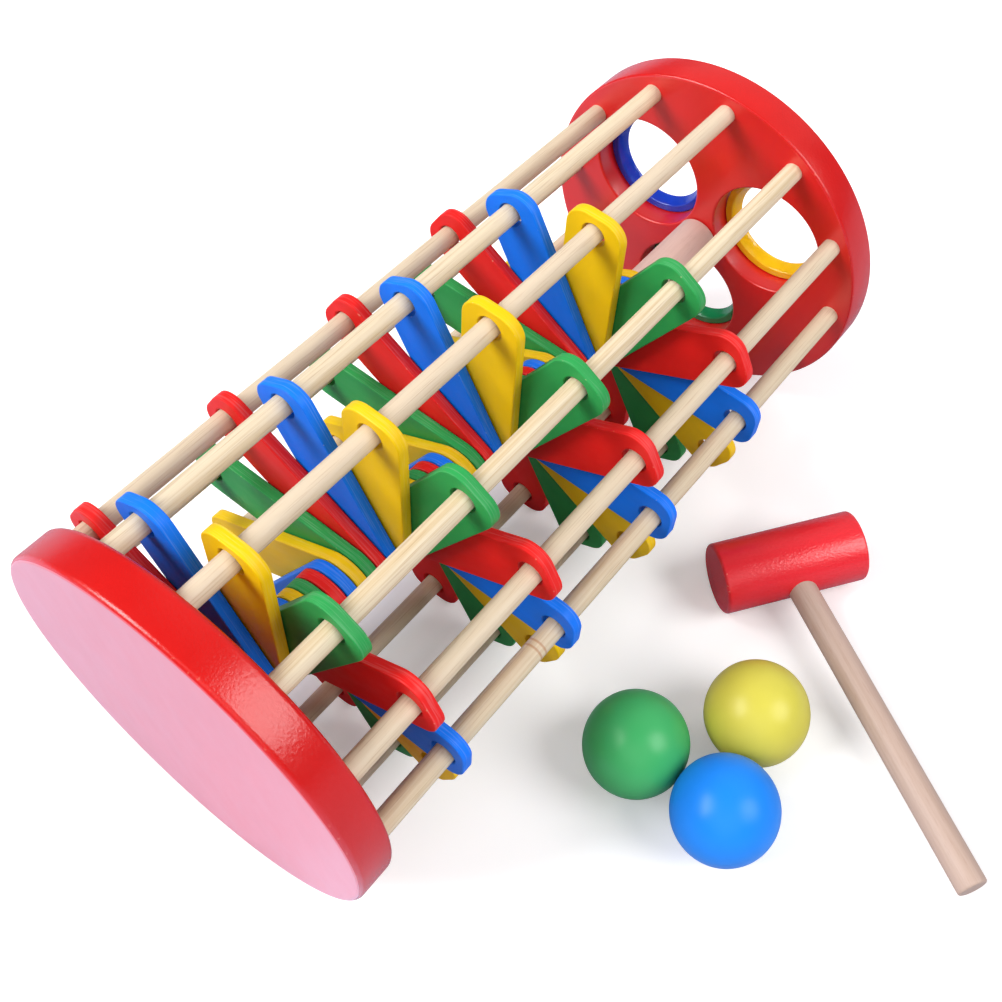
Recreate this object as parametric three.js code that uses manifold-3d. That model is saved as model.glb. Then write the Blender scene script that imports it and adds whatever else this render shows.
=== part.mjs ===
// Pound and roll tower: a spiral stair of wooden leaves between two discs, lying on its side,
// with its three balls and its hammer beside it. Millimetres, +Z up, floor at z = 0.

import * as THREE from 'three';
import { mergeVertices } from 'three/addons/utils/BufferGeometryUtils.js';
import Module from 'manifold-3d';

const wasm = await Module();
wasm.setup();

// Fits between pieces
const SLIP = 0.2; // radial gap of a glued or pressed fit
const SEAT = 0.3; // gap between a piece and the face it rests on

// Discs at both ends
const DISC_R = 62.5;
const DISC_T = 12.4;
const DISC_SIDES = 32; // flats as narrow as the wear on a rim that is laid down often
const DISC_EDGE = 1; // rounding of the rims
const TOWER_L = 256.5; // from outer face to outer face
const INNER_FACE = TOWER_L - DISC_T; // underside of the top disc

// Cage of dowels
const DOWELS = 12;
const DOWEL_R = 3.2;
const DOWEL_CIRCLE = 55.7;
const DOWEL_SIDES = 12;
const SOCKET = 8; // depth of the holes that hold dowels and post
const DOWEL_TURN = 360 / DOWELS;

// Post that carries the leaves
const POST_R = 7.5;
const TENON_R = 4.5;
const SHOULDER_R = 10; // shoulder at the foot, on which the lowest leaf rests
const SHOULDER_H = 2.4;

// Leaves of the stair, one step up and one dowel on from each to the next
const LEAVES = 48;
const LEAF_RISE = 4;
const LEAF_T = LEAF_RISE - SEAT;
const LEAF_HALF = 10; // half the width of the strip
const LEAF_TIP = 62.4; // from the post's axis to the tip
const TIP_CORNER = 7;
const POST_HOLE = POST_R + SLIP + 0.1;
const DOWEL_HOLE = DOWEL_R + 0.9; // loose, so that the leaf rattles a little
const DOWEL_HOLE_AT = DOWEL_CIRCLE - 0.4;
const FIRST_LEAF = 97.3; // angle of the lowest leaf, from straight down
const STAIR_FOOT = DISC_T + SEAT + SHOULDER_H + SEAT;

// Gate where a ball rolls out: its dowel ends just under its lowest leaf
const GATE = DOWELS - 1;
const GATE_TAIL = 3;

// Rings in the top disc
const RINGS = 3;
const RING_CIRCLE = 28.9;
const RING_HOLE = 20.9;
const RING_BORE = 16; // just under the ball's radius, so that a ball must be hit through
const RING_THROAT = 18; // the bore widens to this inside the disc
const RING_DEPTH = 4.8;
const RING_LIP = 1.2;
const RING_SIDES = 28;
const FIRST_RING = FIRST_LEAF + DOWEL_TURN;

// Balls on the floor
const BALL_R = 16.3;
const BALLS = {
  green: [88.1, -84.2],
  yellow: [118.2, -108],
  blue: [86.3, -117],
};

// Hammer on the floor
const HEAD_R = 12;
const HEAD_L = 50;
const HEAD_EDGE = 1.2;
const HEAD_AT = [174.3, -85.5];
const HEAD_ANGLE = -37.5;
const HANDLE_R = 4.75;
const HANDLE_REACH = 117.3; // from the head's axis to the handle's end
const HANDLE_INSIDE = 3; // past the head's axis
const HANDLE_EDGE = 0.8;
const HANDLE_LEAN = 6; // out of square, as the hole was drilled by hand

const PAINT = { red: 0xe23c3c, blue: 0x2079e8, yellow: 0xe9ba1b, green: 0x35894a };
const BALL_PAINT = { green: 0x4fb56e, yellow: 0xe3d95a, blue: 0x2f95f5 };
const RING_COLOURS = ['blue', 'yellow', 'green'];
const RING_PAINT = { blue: 0x1f3f9e, yellow: 0xe2ab22, green: 0x1f7a4a };
const LEAF_COLOURS = ['green', 'red', 'blue', 'yellow'];
const BEECH = 0xe8dacc;
const WOOD_FINISH = { roughness: 0.6, metalness: 0 };
const PAINT_FINISH = { roughness: 0.32, metalness: 0 };
const PLASTIC_FINISH = { roughness: 0.15, metalness: 0 };

const radians = THREE.MathUtils.degToRad;

// Welds a geometry into one closed skin of shared corners
function weld(geometry) {
  const bare = geometry.clone();
  bare.deleteAttribute('normal');
  bare.deleteAttribute('uv');
  const merged = mergeVertices(bare, 1e-4);
  const corners = merged.index.array;
  const kept = [];
  for (let i = 0; i < corners.length; i += 3) {
    const [a, b, c] = corners.slice(i, i + 3);
    if (a !== b && b !== c && c !== a) kept.push(a, b, c);
  }
  merged.setIndex(kept);
  return merged;
}

function toSolid(geometry) {
  const skin = weld(geometry);
  return new wasm.Manifold(new wasm.Mesh({
    numProp: 3,
    vertProperties: new Float32Array(skin.attributes.position.array),
    triVerts: new Uint32Array(skin.index.array),
  }));
}

function toGeometry(solid) {
  const mesh = solid.getMesh();
  const geometry = new THREE.BufferGeometry();
  geometry.setAttribute('position', new THREE.BufferAttribute(mesh.vertProperties.slice(), 3));
  geometry.setIndex(new THREE.BufferAttribute(mesh.triVerts.slice(), 1));
  geometry.computeVertexNormals();
  return geometry;
}

function piece(name, geometry, color, finish) {
  const mesh = new THREE.Mesh(geometry, new THREE.MeshStandardMaterial({ color, ...finish }));
  mesh.name = name;
  return mesh;
}

// Point at a radius and an angle from straight down, across the tower's axis
function around(radius, degrees) {
  const angle = radians(degrees);
  return new THREE.Vector2(radius * Math.cos(angle), radius * Math.sin(angle));
}

// Round bar along the tower's axis between two heights
function bar(radius, from, to, sides, at = new THREE.Vector2()) {
  const geometry = new THREE.CylinderGeometry(radius, radius, to - from, sides);
  geometry.rotateX(Math.PI / 2);
  geometry.translate(at.x, at.y, (from + to) / 2);
  return toSolid(geometry);
}

// Turned piece about the tower's axis, from [radius, height] points and rounded corners
function turned(outline, sides) {
  const points = outline.map(([radius, height]) => new THREE.Vector2(radius, height));
  const geometry = new THREE.LatheGeometry(points, sides);
  geometry.rotateX(Math.PI / 2);
  return weld(geometry);
}

// Quarter-round corner of an outline, from one angle to another about its centre
function corner(radius, height, r, from, to, steps = 3) {
  const points = [];
  for (let i = 0; i <= steps; i++) {
    const angle = radians(from + (to - from) * i / steps);
    points.push([radius + r * Math.cos(angle), height + r * Math.sin(angle)]);
  }
  return points;
}

// Disc with rounded rims, one of its flats straight down
function disc(from) {
  const shape = new THREE.Shape();
  const reach = DISC_R / Math.cos(Math.PI / DISC_SIDES);
  const corners = [];
  for (let i = 0; i < DISC_SIDES; i++) corners.push(around(reach, (i + 0.5) * 360 / DISC_SIDES));
  shape.setFromPoints(corners);
  const geometry = new THREE.ExtrudeGeometry(shape, {
    depth: DISC_T - 2 * DISC_EDGE,
    bevelThickness: DISC_EDGE,
    bevelSize: DISC_EDGE,
    bevelOffset: -DISC_EDGE,
    bevelSegments: 3,
  });
  geometry.translate(0, 0, from + DISC_EDGE);
  return toSolid(geometry);
}

const dowelAngle = (i) => FIRST_LEAF + DOWEL_TURN * i;
const dowelAt = (i) => around(DOWEL_CIRCLE, dowelAngle(i));
const leafFoot = (i) => STAIR_FOOT + LEAF_RISE * i;

// Base disc with the dowels that are glued into it, and the hole for the post's tenon
function baseWithDowels() {
  let solid = disc(0);
  solid = solid.subtract(bar(TENON_R + SLIP, DISC_T - SOCKET, DISC_T + 1, 16));
  for (let i = 0; i < DOWELS; i++) {
    if (i === GATE) continue;
    solid = solid.add(bar(DOWEL_R, DISC_T - SOCKET, INNER_FACE + SOCKET - SEAT, DOWEL_SIDES, dowelAt(i)));
  }
  return toGeometry(solid);
}

// Top disc with blind holes for dowels and post, and the three holes for the rings
function topDisc() {
  let solid = disc(INNER_FACE);
  solid = solid.subtract(bar(TENON_R + SLIP, INNER_FACE - 1, INNER_FACE + SOCKET, 16));
  for (let i = 0; i < DOWELS; i++) {
    const hole = bar(DOWEL_R + SLIP, INNER_FACE - 1, INNER_FACE + SOCKET, DOWEL_SIDES, dowelAt(i));
    solid = solid.subtract(hole);
  }
  for (let i = 0; i < RINGS; i++) {
    const at = around(RING_CIRCLE, FIRST_RING + 360 / RINGS * i);
    solid = solid.subtract(bar(RING_HOLE, INNER_FACE - 1, TOWER_L + 1, RING_SIDES, at));
  }
  return toGeometry(solid);
}

// Post with a tenon at each end and a wider shoulder at its foot
function post() {
  const foot = DISC_T + SEAT;
  const head = INNER_FACE - SEAT;
  return turned([
    [0, DISC_T - SOCKET + SEAT],
    [TENON_R, DISC_T - SOCKET + SEAT],
    [TENON_R, foot],
    [SHOULDER_R, foot],
    [SHOULDER_R, foot + SHOULDER_H],
    [POST_R, foot + SHOULDER_H],
    [POST_R, head],
    [TENON_R, head],
    [TENON_R, INNER_FACE + SOCKET - SEAT],
    [0, INNER_FACE + SOCKET - SEAT],
  ], 24);
}

// Arc of a flat outline, in degrees
function arc(x, y, radius, from, to, steps) {
  return new THREE.EllipseCurve(x, y, radius, radius, radians(from), radians(to), to < from).getPoints(steps);
}

// One leaf: a strip with a round end about the post and a blunt tip past its dowel
function leaf() {
  const side = LEAF_HALF - TIP_CORNER;
  const end = LEAF_TIP - TIP_CORNER;
  const shape = new THREE.Shape([
    ...arc(0, 0, LEAF_HALF, 90, 270, 8),
    ...arc(end, -side, TIP_CORNER, -90, 0, 3),
    ...arc(end, side, TIP_CORNER, 0, 90, 3),
  ]);
  shape.holes.push(new THREE.Path(arc(0, 0, POST_HOLE, 360, 0, 14)));
  shape.holes.push(new THREE.Path(arc(DOWEL_HOLE_AT, 0, DOWEL_HOLE, 360, 0, 8)));
  return weld(new THREE.ExtrudeGeometry(shape, { depth: LEAF_T, bevelEnabled: false }));
}

// Ring with a rounded lip outside and a bore that widens inwards, which the balls are hit through
function ring() {
  const outer = RING_HOLE - SLIP;
  const outline = [
    [outer, 0],
    [outer, RING_DEPTH],
    ...corner(RING_BORE + RING_LIP, RING_DEPTH - RING_LIP, RING_LIP, 90, 180),
    [RING_THROAT, 0],
    [outer, 0],
  ];
  return turned(outline, RING_SIDES);
}

// Hammer head, turned about its own axis and drilled for the handle
function hammerHead(handleTurn) {
  const half = HEAD_L / 2;
  const skin = turned([
    [0, -half],
    ...corner(HEAD_R - HEAD_EDGE, -half + HEAD_EDGE, HEAD_EDGE, 270, 360),
    ...corner(HEAD_R - HEAD_EDGE, half - HEAD_EDGE, HEAD_EDGE, 0, 90),
    [0, half],
  ], 28);
  skin.rotateY(Math.PI / 2);
  const hole = bar(HANDLE_R + SLIP, -HANDLE_INSIDE - SEAT, HEAD_R * 2, 16);
  const drill = toGeometry(hole);
  drill.applyMatrix4(handleTurn);
  return toGeometry(toSolid(skin).subtract(toSolid(drill)));
}

// Handle along its own axis, its far end rounded
function hammerHandle() {
  return turned([
    [0, -HANDLE_INSIDE],
    [HANDLE_R, -HANDLE_INSIDE],
    ...corner(HANDLE_R - HANDLE_EDGE, HANDLE_REACH - HANDLE_EDGE, HANDLE_EDGE, 0, 90, 2),
    [0, HANDLE_REACH],
  ], 16);
}

// Tower built upright about z, with x as the direction that will point down
const tower = new THREE.Group();
tower.add(piece('base_with_dowels', baseWithDowels(), PAINT.red, PAINT_FINISH));
tower.add(piece('top_disc', topDisc(), PAINT.red, PAINT_FINISH));
tower.add(piece('centre_post', post(), BEECH, WOOD_FINISH));

const gateFoot = leafFoot(GATE) - GATE_TAIL;
const gateBar = bar(DOWEL_R, gateFoot, INNER_FACE + SOCKET - SEAT, DOWEL_SIDES, dowelAt(GATE));
tower.add(piece('gate_dowel', toGeometry(gateBar), BEECH, WOOD_FINISH));

for (let i = 0; i < LEAVES; i++) {
  const colour = LEAF_COLOURS[i % LEAF_COLOURS.length];
  const number = String(i + 1).padStart(2, '0');
  const step = piece(`leaf_${number}_${colour}`, leaf(), PAINT[colour], PAINT_FINISH);
  step.rotation.z = radians(dowelAngle(i));
  step.position.z = leafFoot(i);
  tower.add(step);
}

RING_COLOURS.forEach((colour, i) => {
  const at = around(RING_CIRCLE, FIRST_RING + 360 / RINGS * i);
  const mesh = piece(`ring_${colour}`, ring(), RING_PAINT[colour], PLASTIC_FINISH);
  mesh.position.set(at.x, at.y, TOWER_L - RING_DEPTH);
  tower.add(mesh);
});

// The tower laid on its rims, its axis along +X
tower.rotation.y = Math.PI / 2;
tower.position.z = DISC_R;

const set = new THREE.Group();
set.add(tower);

for (const [colour, [x, y]] of Object.entries(BALLS)) {
  const ball = piece(`ball_${colour}`, weld(new THREE.SphereGeometry(BALL_R, 20, 14)), BALL_PAINT[colour],
    PAINT_FINISH);
  ball.position.set(x, y, BALL_R);
  set.add(ball);
}

// The hammer rests on its head and on the end of its handle
const dip = Math.asin((HEAD_R - HANDLE_R) / HANDLE_REACH);
const handlePose = new THREE.Object3D();
handlePose.rotation.order = 'ZYX';
handlePose.rotation.set(0, Math.PI / 2 + dip, radians(-90 + HANDLE_LEAN));
handlePose.updateMatrix();

const hammer = new THREE.Group();
hammer.add(piece('hammer_head', hammerHead(handlePose.matrix), PAINT.red, PAINT_FINISH));
const handle = piece('hammer_handle', hammerHandle(), BEECH, WOOD_FINISH);
handle.rotation.copy(handlePose.rotation);
hammer.add(handle);
hammer.rotation.z = radians(HEAD_ANGLE);
hammer.position.set(...HEAD_AT, HEAD_R);
set.add(hammer);

// The origin is the middle of the whole set's outline, on the floor
set.updateMatrixWorld(true);
const middle = new THREE.Box3().setFromObject(set, true).getCenter(new THREE.Vector3());
set.position.set(-middle.x, -middle.y, 0);

export default set;
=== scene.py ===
# %% [markdown]
# A pound and roll tower is a wooden ball run: balls are hammered through plastic rings in the
# top disc and hop down a spiral stair of painted leaves inside a cage of dowels. This lesson
# dresses the finished construction, which lies on its side on a white table with its three balls
# and its hammer. Its real solids come from model.glb, so most sizes are read from them.

# %% Load the construction
import math

import bmesh
import bpy
from mathutils import Matrix, Vector, noise


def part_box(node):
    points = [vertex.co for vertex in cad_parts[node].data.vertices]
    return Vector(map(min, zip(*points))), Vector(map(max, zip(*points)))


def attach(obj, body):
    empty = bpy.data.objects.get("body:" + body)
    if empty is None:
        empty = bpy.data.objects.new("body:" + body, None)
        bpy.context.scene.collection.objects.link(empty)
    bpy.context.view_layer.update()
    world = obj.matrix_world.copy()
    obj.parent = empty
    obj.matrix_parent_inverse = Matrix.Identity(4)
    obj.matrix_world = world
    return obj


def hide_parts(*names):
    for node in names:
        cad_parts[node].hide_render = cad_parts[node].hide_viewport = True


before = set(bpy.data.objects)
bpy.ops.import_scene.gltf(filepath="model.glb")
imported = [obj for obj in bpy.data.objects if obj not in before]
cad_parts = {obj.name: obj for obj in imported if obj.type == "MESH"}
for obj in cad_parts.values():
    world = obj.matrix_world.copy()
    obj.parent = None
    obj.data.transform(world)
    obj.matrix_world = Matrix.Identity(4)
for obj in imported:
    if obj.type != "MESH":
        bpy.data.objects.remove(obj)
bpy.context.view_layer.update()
MM = 0.001

# %% [markdown]
# The tower was designed upright and then laid down, so its pieces are easiest to shape upright.
# One matrix lays them: the direction called x becomes down, y stays sideways and z, the tower's
# own axis, becomes the world's x. Radii, heights and angles come from the boxes of the solids.

# %% Measure the tower
TOWER = "tower"
DOWELS = 12
base_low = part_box("base_with_dowels")[0]
top_low, top_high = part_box("top_disc")
gate_low, gate_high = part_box("gate_dowel")

axis = (top_low + top_high) / 2
lay_down = Matrix((
    (0, 0, 1, base_low.x),
    (0, 1, 0, axis.y),
    (-1, 0, 0, axis.z),
    (0, 0, 0, 1),
))
stand_up = lay_down.inverted()

disc_radius = axis.z - top_low.z
disc_thick = top_high.x - top_low.x
inner_face = top_low.x - base_low.x
dowel_radius = (gate_high.z - gate_low.z) / 2
gate_at = stand_up @ ((gate_low + gate_high) / 2)
dowel_circle = math.hypot(gate_at.x, gate_at.y)
gate_angle = math.atan2(gate_at.y, gate_at.x)
dowel_turn = math.tau / DOWELS
print(f"disc {2 * disc_radius / MM:.1f} x {disc_thick / MM:.1f} mm, dowels on {dowel_circle / MM:.1f} mm")

# %% [markdown]
# The camera looks down on the lying tower from its base end. A camera could be aimed at a target,
# but a place, a heading and a pitch are the three things a photographer would note, so those are
# used. The small shift slides the picture on the film as a crop does.

# %% Camera
IMAGE = 1002
SENSOR = 36
CAMERA_FROM_AXIS = Vector((-0.1857, -0.1776, 0.3028))
HEADING = 36.27
PITCH_DOWN = 50.61
FOCAL_PIXELS = 1264.9
AXIS_PIXEL = (600, 450)
NEAR_LIMIT = 10 * MM

lens = bpy.data.cameras.new("camera")
lens.sensor_width = SENSOR
lens.lens = FOCAL_PIXELS / IMAGE * SENSOR
lens.shift_x = 0.5 - AXIS_PIXEL[0] / IMAGE
lens.shift_y = AXIS_PIXEL[1] / IMAGE - 0.5
lens.clip_start = NEAR_LIMIT
camera = bpy.data.objects.new("camera", lens)
camera.location = Vector((0, axis.y, axis.z)) + CAMERA_FROM_AXIS
camera.rotation_euler = (math.radians(90 - PITCH_DOWN), 0, math.radians(HEADING - 90))
bpy.context.collection.objects.link(camera)
bpy.context.scene.camera = camera
print(f"lens {lens.lens:.1f} mm, shift {lens.shift_x:.3f} {lens.shift_y:.3f}")

# %% [markdown]
# Finishes are built from the same few nodes. The first ones read a coordinate that each mesh will
# store, with its first number along the grain, and turn it into a noise that is stretched that
# way. Pale bare wood shows its grain as colour, while paint hides the colour but still follows
# the pores, so both share the stretched noise.

# %% Helpers for textures
EVEN = (1, 1, 1)
NOISE_LOW = 0.3
NOISE_HIGH = 0.7


def new_finish(name, roughness):
    """Starts a material and hands back its tree and its shader too."""
    material = bpy.data.materials.new(name)
    material.use_nodes = True
    tree = material.node_tree
    shader = tree.nodes["Principled BSDF"]
    shader.inputs["Roughness"].default_value = roughness
    return material, tree, shader


def stored(tree, name, output):
    """Reads what a mesh stores under a name; a mesh without that name gives zero."""
    node = tree.nodes.new("ShaderNodeAttribute")
    node.attribute_name = name
    return node.outputs[output]


def stretched_noise(tree, grain, stretch, per_metre, detail=3.0, roughness=0.55):
    """A noise of so many spots to the metre; a small first number draws it out along the grain."""
    mapping = tree.nodes.new("ShaderNodeMapping")
    mapping.inputs["Scale"].default_value = stretch
    tree.links.new(grain, mapping.inputs["Vector"])
    texture = tree.nodes.new("ShaderNodeTexNoise")
    texture.inputs["Scale"].default_value = per_metre
    texture.inputs["Detail"].default_value = detail
    texture.inputs["Roughness"].default_value = roughness
    tree.links.new(mapping.outputs["Vector"], texture.inputs["Vector"])
    return texture.outputs["Fac"]


def add_bump(tree, shader, height, depth):
    """Raises the surface by a texture, on top of the bumps that it already has."""
    bump = tree.nodes.new("ShaderNodeBump")
    bump.inputs["Distance"].default_value = depth
    tree.links.new(height, bump.inputs["Height"])
    for earlier in shader.inputs["Normal"].links:
        tree.links.new(earlier.from_socket, bump.inputs["Normal"])
    tree.links.new(bump.outputs["Normal"], shader.inputs["Normal"])


# %% [markdown]
# The other nodes turn a noise into colours or into another range of numbers, and lay one colour
# over another. A mix node has a set of sockets for each kind of data under the same names, so its
# colour sockets are taken by number.

# %% Helpers for colours
COLOUR_A = 6
COLOUR_B = 7
COLOUR_RESULT = 2


def ramp(tree, fac, stops):
    """Turns numbers into colours."""
    node = tree.nodes.new("ShaderNodeValToRGB")
    elements = node.color_ramp.elements
    while len(elements) < len(stops):
        elements.new(0.5)
    for element, (place, colour) in zip(elements, stops):
        element.position = place
        element.color = (*colour, 1)
    tree.links.new(fac, node.inputs["Fac"])
    return node.outputs["Color"]


def spread(tree, fac, from_low, from_high, to_low, to_high):
    """Stretches one range of numbers to another and stops at its ends."""
    node = tree.nodes.new("ShaderNodeMapRange")
    limits = {"From Min": from_low, "From Max": from_high, "To Min": to_low, "To Max": to_high}
    for socket, value in limits.items():
        node.inputs[socket].default_value = value
    tree.links.new(fac, node.inputs["Value"])
    return node.outputs["Result"]


def times(tree, a, b):
    """Multiplies two numbers."""
    node = tree.nodes.new("ShaderNodeMath")
    node.operation = "MULTIPLY"
    tree.links.new(a, node.inputs[0])
    tree.links.new(b, node.inputs[1])
    return node.outputs["Value"]


def blend_colour(tree, fac, a, b):
    """Goes from a, a socket or a colour, to the colour b."""
    node = tree.nodes.new("ShaderNodeMix")
    node.data_type = "RGBA"
    tree.links.new(fac, node.inputs["Factor"])
    if isinstance(a, tuple):
        node.inputs[COLOUR_A].default_value = (*a, 1)
    else:
        tree.links.new(a, node.inputs[COLOUR_A])
    node.inputs[COLOUR_B].default_value = (*b, 1)
    return node.outputs[COLOUR_RESULT]


def srgb(red, green, blue):
    """A colour as seen on screen, in the linear numbers that shaders use."""
    return tuple(((c / 255 + 0.055) / 1.055) ** 2.4 for c in (red, green, blue))


def tint(colour, factor):
    """A colour made lighter or darker."""
    return tuple(min(1.0, c * factor) for c in colour)


# %% [markdown]
# The coloured pieces are dipped in toy paint. One flat colour would look like plastic, so the
# paint is a little thicker in some places than in others, its gloss varies, and tiny pits break
# up the highlights. On the sawn edges of the leaves the saw marks show through as fine lines, and
# rims have a few tiny chips down to the wood. Meshes mark their rims and sawn edges themselves.

# %% Paint
CHIP = srgb(232, 206, 170)
CHIPS_PER_METRE = 620
CHIP_SPOT = (0.66, 0.72)
SAW_LINES_PER_METRE = 2300
SAW_LINE = (0.5, 0.66)
SAWN_PALER = 0.07
SAWN_SHARE = 0.8
CLOUDS_PER_METRE = 90
SHEEN_PER_METRE = 170
COAT_ROUGHNESS = 0.29


def show_saw_lines(tree, shader, grain, colour, covered, depth):
    """Lets paler lines show through the paint where a mesh marks a sawn edge."""
    lines = stretched_noise(tree, grain, (0.03, 0.03, 1), SAW_LINES_PER_METRE, detail=2)
    paler = tuple(c + SAWN_PALER * (1 - c) for c in colour)
    shown = times(tree, spread(tree, lines, *SAW_LINE, 0, SAWN_SHARE), stored(tree, "edge", "Fac"))
    add_bump(tree, shader, lines, depth)
    return blend_colour(tree, shown, covered, paler)


def chip_rims(tree, grain, covered, share):
    """Lets spots of bare wood show where a mesh marks a rim."""
    spots = stretched_noise(tree, grain, EVEN, CHIPS_PER_METRE, detail=2)
    worn = times(tree, spread(tree, spots, *CHIP_SPOT, 0, share), stored(tree, "rim", "Fac"))
    return blend_colour(tree, worn, covered, CHIP)


def paint(name, colour, gloss, pits, specular, uneven=0.06, saw_depth=0.0, coat=0.0, chips=0.3):
    """Toy paint; gloss is a range of roughness, and pits are their width and depth."""
    material, tree, shader = new_finish(name, sum(gloss) / 2)
    grain = stored(tree, "grain", "Vector")
    cloud = stretched_noise(tree, grain, (0.5, 1, 1), CLOUDS_PER_METRE, detail=5)
    thin, thick = tint(colour, 1 + uneven), tint(colour, 1 - uneven)
    covered = ramp(tree, cloud, [(0.28, thick), (0.5, colour), (0.72, thin)])
    if saw_depth:
        covered = show_saw_lines(tree, shader, grain, colour, covered, saw_depth)
    tree.links.new(chip_rims(tree, grain, covered, chips), shader.inputs["Base Color"])
    sheen = stretched_noise(tree, grain, (0.4, 1, 1), SHEEN_PER_METRE)
    tree.links.new(spread(tree, sheen, NOISE_LOW, NOISE_HIGH, *gloss), shader.inputs["Roughness"])
    shader.inputs["Specular IOR Level"].default_value = specular
    shader.inputs["Coat Weight"].default_value = coat
    shader.inputs["Coat Roughness"].default_value = COAT_ROUGHNESS
    pit_width, pit_depth = pits
    add_bump(tree, shader, stretched_noise(tree, grain, (0.6, 1, 1), 1 / pit_width), pit_depth)
    return material


# %% [markdown]
# The leaves are satin, the balls smoother, and the hammer and the turned rims of the discs glossy
# and pitted. The sanded faces of the discs are so smooth that at a flat angle they mirror the
# table, which a clear coat adds to.

# %% Paints of the set
SATIN = (0.42, 0.54)
SMOOTH = (0.29, 0.37)
SANDED = (0.29, 0.34)
GLOSSY = (0.22, 0.26)
LEAF_PITS = (1.6 * MM, 0.03 * MM)
BALL_PITS = (2.5 * MM, 0.012 * MM)
DISC_PITS = (3 * MM, 0.01 * MM)
RIM_PITS = (0.8 * MM, 0.08 * MM)
HAMMER_PITS = (0.65 * MM, 0.14 * MM)
SAWN = 0.1 * MM
LEAF_COLOURS = {
    "red": srgb(233, 30, 27),
    "blue": srgb(10, 120, 246),
    "yellow": srgb(240, 196, 5),
    "green": srgb(45, 155, 78),
}
BALL_COLOURS = {
    "green": srgb(66, 175, 101),
    "yellow": srgb(210, 200, 79),
    "blue": srgb(29, 135, 241),
}
BALL_SPECULAR = {"green": 0.3, "yellow": 0.3, "blue": 0.2}
DISC_RED = srgb(219, 26, 25)
# Painted shade: the rims get a darker copy of the disc red, to darken the rims.
SHADED_RIM_RED = srgb(203, 14, 9)
HAMMER_RED = srgb(230, 33, 44)

leaf_paint = {
    name: paint(f"{name}_paint", colour, SATIN, LEAF_PITS, specular=0.2, saw_depth=SAWN)
    for name, colour in LEAF_COLOURS.items()
}
disc_paint = paint("disc_paint", DISC_RED, SANDED, DISC_PITS, specular=0.25, uneven=0.03, coat=1.0,
                   chips=0.1)
# The rims' paint is glossy and pitted, and its darker red is painted shade.
rim_paint_shaded = paint("rim_paint_shaded", SHADED_RIM_RED, GLOSSY, RIM_PITS, specular=0.5, uneven=0.04, chips=0.1)
hammer_paint = paint("hammer_paint", HAMMER_RED, GLOSSY, HAMMER_PITS, specular=0.6, uneven=0.04)
ball_paint = {
    name: paint(f"{name}_ball_paint", colour, SMOOTH, BALL_PITS, BALL_SPECULAR[name], uneven=0.03)
    for name, colour in BALL_COLOURS.items()
}
print("paints", sorted(leaf_paint), sorted(ball_paint), disc_paint.name, rim_paint_shaded.name, hammer_paint.name)

# %% [markdown]
# The dowels are bamboo rods: straw-coloured, with ochre fibres that run straight from end to end,
# and here and there the brown ring of a knot. Some rods are pinker and plainer than others. Post
# and handle are a smooth pinkish hardwood with short flecks. The post's copy of that wood is painted
# lighter than the handle's, as painted light that makes up for the shade falling on the post inside
# the cage. All are layered noises; only the stretch and the colours differ.

# %% Bare wood
PINKER = srgb(215, 196, 171)
KNOT_BROWN = srgb(176, 112, 62)
PALEST = 1.06
FIBRES_PER_METRE = 800
FIBRE_DEPTH = 0.08 * MM
FLECKS_PER_METRE = 2600
FLECK_SPOT = (0.55, 0.72)
FLECK_DEPTH = 0.03 * MM
WOOD_GLOSS = (0.42, 0.58)
WOOD_SPECULAR = 0.4


def bare_wood(name, pale, streak, fleck, fibre, dash, fleck_share):
    """Bare wood; a small fibre or dash means long fibres or long flecks."""
    material, tree, shader = new_finish(name, sum(WOOD_GLOSS) / 2)
    shader.inputs["Specular IOR Level"].default_value = WOOD_SPECULAR
    grain = stored(tree, "grain", "Vector")
    fibres = stretched_noise(tree, grain, (fibre, 1, 1), FIBRES_PER_METRE, detail=6, roughness=0.65)
    ground = ramp(tree, fibres, [(0.36, streak), (0.52, pale), (0.74, tint(pale, PALEST))])
    pinker = blend_colour(tree, stored(tree, "tone", "Fac"), ground, PINKER)
    flecks = stretched_noise(tree, grain, (dash, 1, 1), FLECKS_PER_METRE, detail=2)
    flecked = blend_colour(tree, spread(tree, flecks, *FLECK_SPOT, 0, fleck_share), pinker, fleck)
    knotted = blend_colour(tree, stored(tree, "knot", "Fac"), flecked, KNOT_BROWN)
    tree.links.new(knotted, shader.inputs["Base Color"])
    gloss = spread(tree, fibres, NOISE_LOW, NOISE_HIGH, *WOOD_GLOSS)
    tree.links.new(gloss, shader.inputs["Roughness"])
    add_bump(tree, shader, fibres, FIBRE_DEPTH)
    add_bump(tree, shader, flecks, FLECK_DEPTH)
    return material


BAMBOO_COLOURS = (srgb(221, 204, 175), srgb(208, 185, 148), srgb(168, 128, 86))
# Painted light: the post's colours are lighter than the handle's, to make up for the shade on the post
# inside the cage.
LIGHTENED_POST_COLOURS = (srgb(222, 193, 181), srgb(216, 186, 173), srgb(184, 148, 132))
GRIP_COLOURS = (srgb(187, 162, 148), srgb(181, 155, 140), srgb(162, 128, 108))
bamboo = bare_wood("bamboo", *BAMBOO_COLOURS, fibre=0.006, dash=0.02, fleck_share=0.4)
post_wood_painted_lighter = bare_wood("post_wood_painted_lighter", *LIGHTENED_POST_COLOURS, fibre=0.03, dash=0.09, fleck_share=0.22)
grip_wood = bare_wood("grip_wood", *GRIP_COLOURS, fibre=0.03, dash=0.09, fleck_share=0.22)
print("woods", bamboo.name, post_wood_painted_lighter.name, grip_wood.name)

# %% [markdown]
# The rings are moulded from glossy plastic. Moulded plastic is one even colour all through, so
# only a faint haze, its gloss and a slight ripple from the mould vary.

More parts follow.
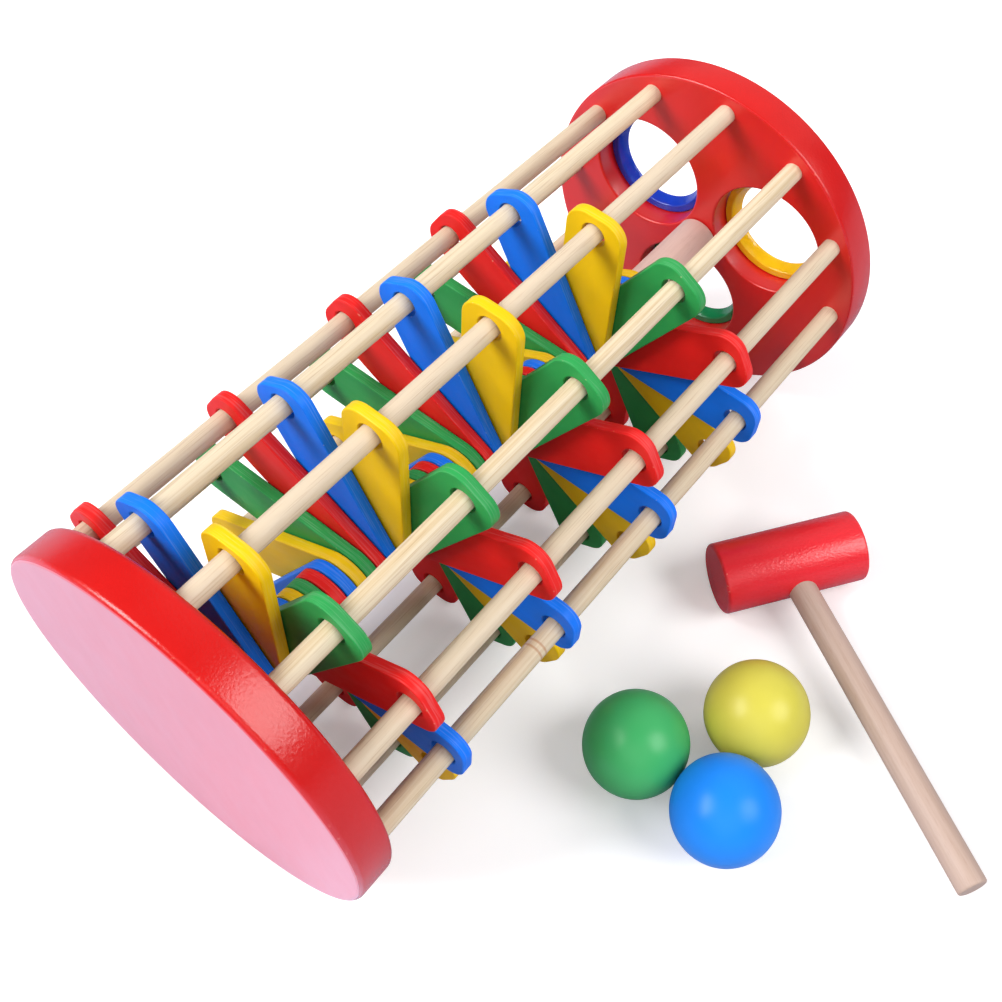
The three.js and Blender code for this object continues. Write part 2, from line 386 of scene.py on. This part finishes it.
# %% Plastic
HAZE_PER_METRE = 240
HAZE = 0.06
RIPPLES_PER_METRE = 260
RIPPLE_DEPTH = 0.25 * MM
PLASTIC_GLOSS = (0.08, 0.18)
RING_COLOURS = {"blue": srgb(24, 62, 186), "yellow": srgb(234, 186, 24), "green": srgb(20, 122, 72)}


def plastic(name, colour):
    """Moulded plastic."""
    material, tree, shader = new_finish(name, sum(PLASTIC_GLOSS) / 2)
    grain = stored(tree, "grain", "Vector")
    haze = stretched_noise(tree, grain, EVEN, HAZE_PER_METRE)
    hazy = ramp(tree, haze, [(NOISE_LOW, tint(colour, 1 - HAZE)), (NOISE_HIGH, tint(colour, 1 + HAZE))])
    tree.links.new(hazy, shader.inputs["Base Color"])
    gloss = spread(tree, haze, NOISE_LOW, NOISE_HIGH, *PLASTIC_GLOSS)
    tree.links.new(gloss, shader.inputs["Roughness"])
    add_bump(tree, shader, stretched_noise(tree, grain, EVEN, RIPPLES_PER_METRE), RIPPLE_DEPTH)
    return material


ring_plastic = {name: plastic(f"{name}_ring_plastic", colour) for name, colour in RING_COLOURS.items()}
print("plastics", sorted(ring_plastic))

# %% [markdown]
# Turned and sawn pieces have softened edges. A bevel modifier would do that too, but the bevel
# operator also tells which corners it made, so they can be marked for the paint: rims where paint
# wears first, and the walls where saw marks show. Walls are shaded smooth. Level faces are not,
# because a flat face that is shaded smooth with its rim mirrors the table unevenly.

# %% Softened edges
LEVEL = 0.999
STEEP = 0.5
SHARP_EDGE = math.radians(50)


def shade(bm):
    """Shades walls and rims smooth but leaves level faces flat."""
    bm.normal_update()
    for face in bm.faces:
        face.smooth = abs(face.normal.z) < LEVEL


def round_rims(bm, radius, segments):
    """Rounds the edges where a face meets a wall and marks them as rims."""
    rim = bm.verts.layers.float.new("rim")
    edge_mark = bm.verts.layers.float.new("edge")
    edges = [e for e in bm.edges if len(e.link_faces) == 2 and e.calc_face_angle(0) > SHARP_EDGE]
    made = bmesh.ops.bevel(bm, geom=edges, offset=radius, offset_type="OFFSET", segments=segments,
                           profile=0.5, affect="EDGES", material=-1)
    rounding = set(made["faces"])
    for vert in made["verts"]:
        vert[rim] = float(rounding.issuperset(vert.link_faces))
        vert[edge_mark] = float(any(abs(face.normal.z) < STEEP for face in vert.link_faces))
    shade(bm)


# %% [markdown]
# A shape becomes a piece when it is laid in its place and told which body it moves with. Before
# that, while it is still upright, its mesh stores the coordinate that the finishes read. Object
# coordinates would make the grain of all leaves run the same way, although each leaf is cut along
# its own length. Pieces of one finish also get different shifts, so that no two of them look cut
# from the same spot of a board.

# %% From shape to piece
GRAIN_SHIFT = Vector((0.37, 0.61, 0.23))


def store_grain(bm, along, offset):
    """Keeps each corner's place as a coordinate whose first number runs along the grain."""
    layer = bm.verts.layers.float_vector.new("grain")
    shift = GRAIN_SHIFT * (offset + 0.5)
    first, second = (i for i in range(3) if i != along)
    for vert in bm.verts:
        vert[layer] = Vector((vert.co[along], vert.co[first], vert.co[second])) + shift


def add_piece(name, bm, place, material, body, nodes, along=2, offset=0):
    """Makes an object of the shape, puts its place into its mesh and rides it on a body."""
    store_grain(bm, along, offset)
    bmesh.ops.transform(bm, matrix=place, verts=bm.verts[:])
    mesh = bpy.data.meshes.new(name)
    bm.to_mesh(mesh)
    bm.free()
    mesh.materials.append(material)
    piece = bpy.data.objects.new(name, mesh)
    bpy.context.collection.objects.link(piece)
    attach(piece, body)
    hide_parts(*nodes)
    return piece


# %% [markdown]
# A disc is turned from board: a short cylinder with rounded rims. The base is plain, so a cone
# primitive with equal radii and a bevel is enough. Its sanded faces are smooth and its turned rim
# is pitted, so the rim gets a finish of its own. That finish is also a darker red than the faces,
# which is painted shade on the rim.

# %% Base disc
BASE_EDGE = 1.7 * MM
DISC_SIDES = 192
RIM_TILT = 0.9
RIM_STARTS = 0.95


def upright(height):
    """A move along the tower's axis."""
    return Matrix.Translation((0, 0, height))


def finish_rim(bm):
    """Gives the outer wall of a disc its second finish, whose darker red is painted shade."""
    for face in bm.faces:
        from_axis = face.calc_center_median().xy.length
        face.material_index = int(abs(face.normal.z) < RIM_TILT and from_axis > RIM_STARTS * disc_radius)


bm = bmesh.new()
bmesh.ops.create_cone(bm, cap_ends=True, segments=DISC_SIDES, radius1=disc_radius, radius2=disc_radius,
                      depth=disc_thick, matrix=upright(disc_thick / 2))
round_rims(bm, BASE_EDGE, segments=6)
finish_rim(bm)
base_disc = add_piece("base_disc", bm, lay_down, disc_paint, TOWER, ["base_with_dowels"],
                      along=0)
base_disc.data.materials.append(rim_paint_shaded)
print("base disc", len(base_disc.data.polygons), "faces")

# %% [markdown]
# The top disc has three large holes for the rings. A boolean could cut them, but filling a flat
# outline that has hole outlines inside it and then raising it keeps every hole a clean circle.

# %% Top disc
TOP_EDGE = 0.8 * MM
RING_RADIUS = 20.7 * MM
RING_SLIP = 0.2 * MM
RING_STEPS = 96
ring_box = {name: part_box(f"ring_{name}") for name in RING_COLOURS}
ring_at = {name: stand_up @ ((low + high) / 2) for name, (low, high) in ring_box.items()}


def thicken(bm, thickness):
    """Fills flat outlines, holes left open, and raises them to a thickness."""
    bmesh.ops.triangle_fill(bm, use_beauty=True, edges=bm.edges[:])
    bmesh.ops.solidify(bm, geom=bm.faces[:], thickness=thickness)
    bmesh.ops.recalc_face_normals(bm, faces=bm.faces[:])
    lowest = min(vert.co.z for vert in bm.verts)
    bmesh.ops.translate(bm, vec=(0, 0, -lowest), verts=bm.verts[:])


bm = bmesh.new()
bmesh.ops.create_circle(bm, segments=DISC_SIDES, radius=disc_radius)
for centre in ring_at.values():
    hole = Matrix.Translation((centre.x, centre.y, 0))
    bmesh.ops.create_circle(bm, segments=RING_STEPS, radius=RING_RADIUS + RING_SLIP, matrix=hole)
thicken(bm, disc_thick)
round_rims(bm, TOP_EDGE, segments=4)
finish_rim(bm)
bmesh.ops.translate(bm, vec=(0, 0, inner_face), verts=bm.verts[:])
top_disc = add_piece("top_disc_board", bm, lay_down, disc_paint, TOWER, ["top_disc"],
                     along=0, offset=1)
top_disc.data.materials.append(rim_paint_shaded)
print("top disc", len(top_disc.data.polygons), "faces")

# %% [markdown]
# A ring is a lathe form: one section swung round the ring's axis. Its outer lip is rounded and its
# bore widens inwards. The spin operator does exactly that, and merging its last step with its
# first closes the ring.

# %% Rings
RING_BORE = 16 * MM
RING_THROAT = 18 * MM
RING_LIP = 1.2 * MM
RING_SOFT = 0.4 * MM
SAME_PLACE = 0.001 * MM
ring_depth = ring_box["blue"][1].x - ring_box["blue"][0].x


def round_corners(bm, corners, radius, segments):
    """Rounds corners of a flat outline."""
    bmesh.ops.bevel(bm, geom=corners, offset=radius, segments=segments, profile=0.5,
                    affect="VERTICES", material=-1)


def lathe(bm, steps):
    """Swings a flat section round the z axis into a closed shape."""
    bmesh.ops.delete(bm, geom=bm.faces[:], context="FACES_ONLY")
    bmesh.ops.spin(bm, geom=bm.verts[:] + bm.edges[:], axis=(0, 0, 1), cent=(0, 0, 0), angle=math.tau,
                   steps=steps, use_merge=True)
    bmesh.ops.remove_doubles(bm, verts=bm.verts[:], dist=SAME_PLACE)
    bmesh.ops.recalc_face_normals(bm, faces=bm.faces[:])
    shade(bm)


def ring_shape():
    """A ring that stands on its inner end."""
    bm = bmesh.new()
    lip = bm.verts.new((RING_BORE, 0, ring_depth))
    section = [bm.verts.new((RING_THROAT, 0, 0)), bm.verts.new((RING_RADIUS, 0, 0)),
               bm.verts.new((RING_RADIUS, 0, ring_depth)), lip]
    bm.faces.new(section)
    round_corners(bm, section[:3], RING_SOFT, segments=3)
    round_corners(bm, [lip], RING_LIP, segments=8)
    lathe(bm, RING_STEPS)
    return bm


for number, (name, centre) in enumerate(ring_at.items()):
    place = lay_down @ Matrix.Translation((centre.x, centre.y, centre.z - ring_depth / 2))
    add_piece(f"{name}_ring", ring_shape(), place, ring_plastic[name], TOWER,
              [f"ring_{name}"], offset=number)
print("rings", len(ring_at))

# %% [markdown]
# Dowels are straight rods. The base was one solid with its dowels, and here each dowel becomes a
# piece of its own. A rod is divided along its length and nudged by a smooth noise of a tenth of a
# millimetre, because drawn rods are never quite true and their highlights waver. The noise gets a
# seed, because without one it differs from run to run. One dowel has a knot, a slightly raised
# brown ring.

# %% Rods
ROD_WAVER = 0.12 * MM
ROD_WAVES_PER_METRE = 22
RODS_APART = 3.7
ROD_CUTS = 24
NOISE_SEED = 1
noise.seed_set(NOISE_SEED)


def rod(radius, length, sides, edge, number, pinkness=0.0):
    """A slightly wavering rod that stands on its lower end; its number picks its waver."""
    bm = bmesh.new()
    tone = bm.verts.layers.float.new("tone")
    bmesh.ops.create_cone(bm, cap_ends=True, segments=sides, radius1=radius, radius2=radius,
                          depth=length, matrix=upright(length / 2))
    round_rims(bm, edge, segments=3)
    lengthwise = [e for e in bm.edges if abs(e.verts[0].co.z - e.verts[1].co.z) > length / 2]
    bmesh.ops.subdivide_edges(bm, edges=lengthwise, cuts=ROD_CUTS, use_grid_fill=True)
    for vert in bm.verts:
        along_rod = vert.co.z * ROD_WAVES_PER_METRE
        sway = noise.noise_vector((along_rod, number * RODS_APART, 0.5)) * ROD_WAVER
        vert.co += Vector((sway.x, sway.y, 0))
        vert[tone] = pinkness
    return bm


# %% Dowels
SOCKET = 8 * MM
DOWEL_EDGE = 0.5 * MM
DOWEL_SIDES = 36
PINKNESS = (0.4, 0.7, 0.1, 0.9, 0.0, 0.6, 0.25, 0.5, 0.8, 0.3, 0.6, 0.2)
KNOT_DOWEL = 6
KNOT_AT = 73 * MM
KNOT_HALF = 0.35 * MM
KNOT_STEP = 6 * KNOT_HALF
KNOT_SHADE = 0.55
KNOT_SWELL = 1.015


def add_knot(bm, height):
    """Cuts a narrow band into a rod, twice, and raises and marks it."""
    knot = bm.verts.layers.float.new("knot")
    for centre in (height, height + KNOT_STEP):
        for side in (-3, -1, 1, 3):
            bmesh.ops.bisect_plane(bm, geom=bm.verts[:] + bm.edges[:] + bm.faces[:],
                                   plane_co=(0, 0, centre + side * KNOT_HALF / 2), plane_no=(0, 0, 1))
        for vert in bm.verts:
            if abs(vert.co.z - centre) < KNOT_HALF:
                vert[knot] = KNOT_SHADE
                vert.co.x *= KNOT_SWELL
                vert.co.y *= KNOT_SWELL


def polar(radius, angle, height):
    """A place at an angle round the tower's axis."""
    return Vector((radius * math.cos(angle), radius * math.sin(angle), height))


for number in range(DOWELS):
    angle = gate_angle + dowel_turn * (number + 1)
    at_gate = number == DOWELS - 1
    foot = gate_low.x - base_low.x if at_gate else disc_thick - SOCKET
    length = gate_high.x - base_low.x - foot
    bm = rod(dowel_radius, length, DOWEL_SIDES, DOWEL_EDGE, number, PINKNESS[number])
    if number == KNOT_DOWEL:
        add_knot(bm, KNOT_AT)
    place = lay_down @ Matrix.Translation(polar(dowel_circle, angle, foot))
    stands_for = ["gate_dowel"] if at_gate else ["base_with_dowels"]
    add_piece(f"dowel_{number + 1:02d}", bm, place, bamboo, TOWER, stands_for, offset=number)
print("dowels", DOWELS)

# %% [markdown]
# The post carries the leaves. It is turned in one piece with the shoulder at its foot, so it is a
# lathe form like the rings. Its section stops at the axis, and the long side is divided so that
# the softened ends don't tilt the shading of the whole shaft.

# %% Post
POST_RADIUS = 7.5 * MM
SHOULDER_RADIUS = 10 * MM
SHOULDER_HEIGHT = 2.4 * MM
POST_EDGE = 0.4 * MM
POST_STEPS = 64
SEAT = 0.3 * MM
post_foot = disc_thick + SEAT
post_top = inner_face - SEAT - post_foot

bm = bmesh.new()
section = [bm.verts.new((x, 0, z)) for x, z in (
    (0, 0), (SHOULDER_RADIUS, 0), (SHOULDER_RADIUS, SHOULDER_HEIGHT), (POST_RADIUS, SHOULDER_HEIGHT),
    (POST_RADIUS, post_top), (0, post_top))]
bm.faces.new(section)
on_axis = bm.edges.get((section[5], section[0]))
round_corners(bm, [section[1], section[2], section[4]], POST_EDGE, segments=3)
bmesh.ops.delete(bm, geom=[on_axis], context="EDGES_FACES")
shaft_side = max(bm.edges, key=lambda edge: edge.calc_length())
bmesh.ops.subdivide_edges(bm, edges=[shaft_side], cuts=ROD_CUTS)
lathe(bm, POST_STEPS)
# The post gets the copy of its wood that is painted lighter, as painted light for the shade on it.
post = add_piece("post", bm, lay_down @ upright(post_foot), post_wood_painted_lighter, TOWER, ["centre_post"],
                 offset=DOWELS)
print("post", len(post.data.polygons), "faces")

# %% [markdown]
# A leaf is a strip of thin board, round about the post and blunt at its tip, with a hole for the
# post and a looser one for its dowel. Its outline starts as a rectangle whose corners are rounded
# by a vertex bevel; the holes are circles inside it, and the paint softens every edge.

# %% Shape of a leaf
LEAF_HALF = 10 * MM
LEAF_TIP = 62.4 * MM
LEAF_EDGE = 0.4 * MM
TIP_CORNER = 7 * MM
HEEL_CORNER = 0.999 * LEAF_HALF
OUTLINE_MERGE = 0.05 * MM
POST_HOLE = POST_RADIUS + 0.3 * MM
DOWEL_HOLE = dowel_radius + 0.9 * MM
DOWEL_HOLE_IN = 0.4 * MM


def leaf_shape(thickness):
    """A leaf that lies level, with its post hole round the z axis and its tip along x."""
    bm = bmesh.new()
    corners = [bm.verts.new((x, y, 0)) for x, y in (
        (-LEAF_HALF, -LEAF_HALF), (LEAF_TIP, -LEAF_HALF), (LEAF_TIP, LEAF_HALF), (-LEAF_HALF, LEAF_HALF))]
    bm.faces.new(corners)
    round_corners(bm, corners[1:3], TIP_CORNER, segments=10)
    heels = [vert for vert in bm.verts if vert.co.x < 0]
    round_corners(bm, heels, HEEL_CORNER, segments=16)
    bmesh.ops.remove_doubles(bm, verts=bm.verts[:], dist=OUTLINE_MERGE)
    bmesh.ops.delete(bm, geom=bm.faces[:], context="FACES_ONLY")
    bmesh.ops.create_circle(bm, segments=40, radius=POST_HOLE)
    eye = Matrix.Translation((dowel_circle - DOWEL_HOLE_IN, 0, 0))
    bmesh.ops.create_circle(bm, segments=28, radius=DOWEL_HOLE, matrix=eye)
    thicken(bm, thickness)
    round_rims(bm, LEAF_EDGE, segments=3)
    return bm


# %% Leaves
leaf_nodes = sorted(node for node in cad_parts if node.startswith("leaf_"))
for number, node in enumerate(leaf_nodes):
    low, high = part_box(node)
    colour = node.rsplit("_", 1)[1]
    turn = Matrix.Rotation(gate_angle + dowel_turn * (number + 1), 4, "Z")
    place = lay_down @ upright(low.x - base_low.x) @ turn
    add_piece(f"{node}_board", leaf_shape(high.x - low.x), place, leaf_paint[colour], TOWER,
              [node], along=0, offset=number)
print("leaves", len(leaf_nodes))

# %% [markdown]
# The balls are turned from wood and dipped. An icosphere has no poles, so a highlight stays even
# all over it, and a smooth noise of a few hundredths of a millimetre makes it a dipped ball.

# %% Balls
BALL_WAVER = 0.05 * MM
BALL_WAVES_PER_METRE = 140
for number, (colour, finish) in enumerate(ball_paint.items()):
    low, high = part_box(f"ball_{colour}")
    own_noise = Vector((number, 0, 0))
    bm = bmesh.new()
    bmesh.ops.create_icosphere(bm, subdivisions=6, radius=(high.z - low.z) / 2 - BALL_WAVER)
    for vert in bm.verts:
        wave = noise.noise(vert.co * BALL_WAVES_PER_METRE + own_noise)
        vert.co += vert.co.normalized() * BALL_WAVER * wave
    for face in bm.faces:
        face.smooth = True
    add_piece(f"{colour}_ball", bm, Matrix.Translation((low + high) / 2), finish,
              f"loose_ball_{colour}", [f"ball_{colour}"], offset=number)
print("balls", len(ball_paint))

# %% [markdown]
# The hammer is a painted billet with a bare handle let into it, a little out of square. It rests
# on the side of its head and on the end of the handle, so the handle dips towards the table. Both
# are shaped upright, like the dowels, and then turned into place.

# %% Hammer
HAMMER = "loose_hammer"
HEAD_ANGLE = math.radians(-37.5)
HEAD_LENGTH = 50 * MM
HEAD_EDGE = 1.2 * MM
HEAD_SIDES = 128
OUT_OF_SQUARE = 6
HANDLE_ANGLE = math.radians(-90 + OUT_OF_SQUARE)
HANDLE_RADIUS = 4.75 * MM
HANDLE_REACH = 117.3 * MM
HANDLE_INSIDE = 3 * MM
HANDLE_EDGE = 0.8 * MM
HANDLE_SIDES = 48

head_low, head_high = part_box("hammer_head")
head_radius = (head_high.z - head_low.z) / 2
hammer_place = Matrix.Translation((head_low + head_high) / 2) @ Matrix.Rotation(HEAD_ANGLE, 4, "Z")
across = Matrix.Rotation(math.pi / 2, 4, "Y")

bm = bmesh.new()
bmesh.ops.create_cone(bm, cap_ends=True, segments=HEAD_SIDES, radius1=head_radius, radius2=head_radius,
                      depth=HEAD_LENGTH)
round_rims(bm, HEAD_EDGE, segments=5)
add_piece("hammer_billet", bm, hammer_place @ across, hammer_paint, HAMMER, ["hammer_head"])

handle_number = DOWELS + 1
dip = math.asin((head_radius - HANDLE_RADIUS) / HANDLE_REACH)
aim = Matrix.Rotation(HANDLE_ANGLE, 4, "Z") @ Matrix.Rotation(math.pi / 2 + dip, 4, "Y")
bm = rod(HANDLE_RADIUS, HANDLE_REACH + HANDLE_INSIDE, HANDLE_SIDES, HANDLE_EDGE, handle_number)
bmesh.ops.translate(bm, vec=(0, 0, -HANDLE_INSIDE), verts=bm.verts[:])
add_piece("hammer_grip", bm, hammer_place @ aim, grip_wood, HAMMER, ["hammer_handle"],
          offset=handle_number)
print(f"hammer handle dips by {math.degrees(dip):.1f} degrees")

# %% [markdown]
# The set lies on a white table, one large plane that keeps the soft shadows. To the camera it is
# brighter than to the light that bounces off it, and it glows faintly, so that it stays white.
# Glossy paint mirrors it as grey, but as pale lavender in front of the base: seen at a flat angle,
# that turns the red face of the base pink.

# %% Table
TABLE_HALF = 6
TABLE_DROP = 0.2 * MM
TABLE_ROUGHNESS = 0.7
TABLE_SPECULAR = 0.1
TABLE_COLOUR = (0.5, 0.5, 0.53)
TABLE_SEEN = (0.96, 0.96, 0.96)
TABLE_GLOW = 0.25
MIRRORED_GREY = (0.42, 0.44, 0.54)
MIRRORED_LAVENDER = (0.66, 0.76, 1.0)
WHITE = (1, 1, 1)


def table_finish():
    """White to the camera, and grey or lavender to what mirrors it."""
    material, tree, shader = new_finish("white_table", TABLE_ROUGHNESS)
    shader.inputs["Specular IOR Level"].default_value = TABLE_SPECULAR
    path = tree.nodes.new("ShaderNodeLightPath")
    by_camera = path.outputs["Is Camera Ray"]
    by_gloss = path.outputs["Is Glossy Ray"]
    coordinates = tree.nodes.new("ShaderNodeTexCoord")
    place = tree.nodes.new("ShaderNodeSeparateXYZ")
    tree.links.new(coordinates.outputs["Object"], place.inputs["Vector"])
    before_base = spread(tree, place.outputs["X"], base_low.x - MM, base_low.x + MM, 1, 0)
    grey = blend_colour(tree, by_gloss, TABLE_COLOUR, MIRRORED_GREY)
    mirrored = blend_colour(tree, times(tree, by_gloss, before_base), grey, MIRRORED_LAVENDER)
    seen = blend_colour(tree, by_camera, mirrored, TABLE_SEEN)
    tree.links.new(seen, shader.inputs["Base Color"])
    shader.inputs["Emission Color"].default_value = (*WHITE, 1)
    tree.links.new(spread(tree, by_camera, 0, 1, 0, TABLE_GLOW), shader.inputs["Emission Strength"])
    return material


bm = bmesh.new()
bmesh.ops.create_grid(bm, x_segments=1, y_segments=1, size=TABLE_HALF)
table_mesh = bpy.data.meshes.new("table")
bm.to_mesh(table_mesh)
bm.free()
table_mesh.materials.append(table_finish())
table = bpy.data.objects.new("table", table_mesh)
table.location.z = -TABLE_DROP
bpy.context.collection.objects.link(table)
print("table", tuple(table.dimensions))

# %% [markdown]
# Two wide soft lights stand left and right of the camera, as their paired glints on the balls
# show, and two faint ones fill from the front and the back. A sun lamp with a wide angle gives
# the glint of a soft box but lights the whole table evenly, where an area lamp would leave its
# far end grey.

# %% Lights
def soft_light(name, direction, width, level):
    """A lamp of a width in degrees that gives a facing white surface the wanted level."""
    lamp = bpy.data.lights.new(name, "SUN")
    lamp.angle = math.radians(width)
    lamp.energy = level * math.pi
    holder = bpy.data.objects.new(name, lamp)
    holder.location = Vector(direction).normalized()
    holder.rotation_euler = (-Vector(direction)).to_track_quat("-Z", "Y").to_euler()
    bpy.context.collection.objects.link(holder)


soft_light("left_light", direction=(-0.53, 0.52, 0.67), width=36, level=1.06)
soft_light("right_light", direction=(0.2, -0.72, 0.67), width=36, level=0.62)
soft_light("front_fill", direction=(-0.66, -0.42, 0.62), width=55, level=0.2)
soft_light("back_fill", direction=(0.75, 0.15, 0.64), width=70, level=0.12)
print("lights", len(bpy.data.lights))

# %% [markdown]
# A plain room lightens the shadows. It could be one grey, but walls that are cooler than the
# ceiling give the glossy rims some shape. To the camera the room is white, so the table has no
# horizon.

# %% Room
WALLS = (0.18, 0.18, 0.22)
CEILING = (0.2, 0.2, 0.215)
WALLS_UP_TO = 0.06
CEILING_FROM = 0.7

world = bpy.data.worlds.new("studio")
world.use_nodes = True
bpy.context.scene.world = world
tree = world.node_tree
direction = tree.nodes.new("ShaderNodeTexCoord")
height = tree.nodes.new("ShaderNodeSeparateXYZ")
tree.links.new(direction.outputs["Generated"], height.inputs["Vector"])
room = ramp(tree, height.outputs["Z"], [(WALLS_UP_TO, WALLS), (CEILING_FROM, CEILING)])
by_camera = tree.nodes.new("ShaderNodeLightPath").outputs["Is Camera Ray"]
tree.links.new(blend_colour(tree, by_camera, room, WHITE), tree.nodes["Background"].inputs["Color"])
bpy.context.scene.view_settings.view_transform = "Standard"
print("room", world.name)
